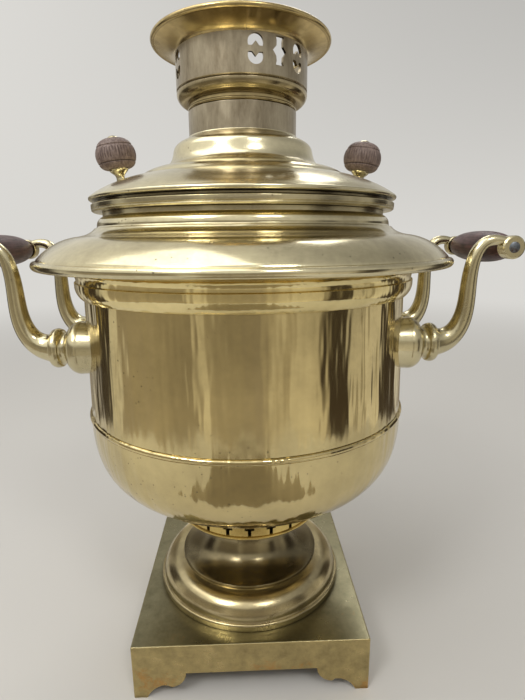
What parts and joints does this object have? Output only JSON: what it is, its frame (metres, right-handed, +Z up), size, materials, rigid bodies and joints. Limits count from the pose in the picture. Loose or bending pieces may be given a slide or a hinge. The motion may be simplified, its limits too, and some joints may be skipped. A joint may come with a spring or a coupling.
{
  "type": "charcoal samovar",
  "caption": "Charcoal samovar: a round brass water urn on a pedestal and square foot, heated by an inner fire tube, with side handles, plug tap, lid and pierced crown.",
  "frame": {"origin": "on the vertical axis of the urn, in the plane that the four feet stand on", "axes": "+Z up, +Y towards the tap, +X towards the right handle as seen from the side opposite the tap"},
  "size_m": [0.368, 0.3416, 0.4364],
  "materials": {
    "body_brass": "polished, worn and tarnished",
    "bright_brass": "polished, worn and tarnished",
    "pale_brass": "polished, worn and tarnished",
    "base_brass": "polished, worn and tarnished",
    "heated_brass": "polished, worn and tarnished",
    "handle_brass": "polished, worn and tarnished",
    "iron": "dark, lightly rusted",
    "knob_wood": "turned, weathered",
    "grip_wood": "turned, dark stain",
    "gasket_fibre": "pressed fibre"
  },
  "bodies": {
    "urn": {"base_plate": "base_brass", "pedestal_foot": "base_brass", "pedestal_stem": "base_brass", "air_gallery": "base_brass", "body_bowl": "body_brass", "seam_bead": "bright_brass", "body_wall": "body_brass", "collar_ring": "bright_brass", "shoulder": "pale_brass", "lid_seat": "pale_brass", "firepot": "heated_brass", "chimney_tube": "heated_brass", "arm_washers": "handle_brass", "arm_nuts": "handle_brass", "tap_rosette": "bright_brass", "tap_body": "handle_brass", "tap_gasket": "gasket_fibre", "tap_lock_nut": "handle_brass", "handle_arm_front_right": "handle_brass", "handle_arm_front_left": "handle_brass", "handle_arm_back_right": "handle_brass", "handle_arm_back_left": "handle_brass", "handle_grip_right": "grip_wood", "handle_grip_left": "grip_wood", "handle_rod_right": "iron", "handle_rod_left": "iron"},
    "grate": {"grate": "iron"},
    "lid": {"lid": "pale_brass", "lid_skirt": "pale_brass", "lid_neck": "heated_brass", "lid_knob_left": "knob_wood", "lid_knob_right": "knob_wood", "knob_stem_left": "handle_brass", "knob_stem_right": "handle_brass", "knob_nuts": "handle_brass", "vent_seat": "pale_brass"},
    "vent_flap": {"vent_flap": "bright_brass"},
    "crown": {"crown_base": "bright_brass", "crown_band": "heated_brass", "crown_flange": "bright_brass"},
    "tap_key": {"tap_key": "handle_brass", "tap_key_washer": "handle_brass", "tap_key_nut": "handle_brass"}
  },
  "joints": [
    {"name": "lid_lift", "type": "slide", "parent": "urn", "child": "lid", "axis": [0, 0, 1], "range_m": [0, 0.12]},
    {"name": "crown_lift", "type": "slide", "parent": "lid", "child": "crown", "axis": [0, 0, 1], "range_m": [0, 0.06]},
    {"name": "grate_lift", "type": "slide", "parent": "urn", "child": "grate", "axis": [0, 0, 1], "range_m": [0, 0.33]},
    {"name": "tap_turn", "type": "hinge", "parent": "urn", "child": "tap_key", "pos_m": [0, 0.162, 0.168], "axis": [0, 0, 1], "continuous": true},
    {"name": "vent_turn", "type": "hinge", "parent": "lid", "child": "vent_flap", "pos_m": [-0.007, 0.08, 0.3514], "axis": [0, 0, 1], "range_deg": [0, 100]}
  ]
}
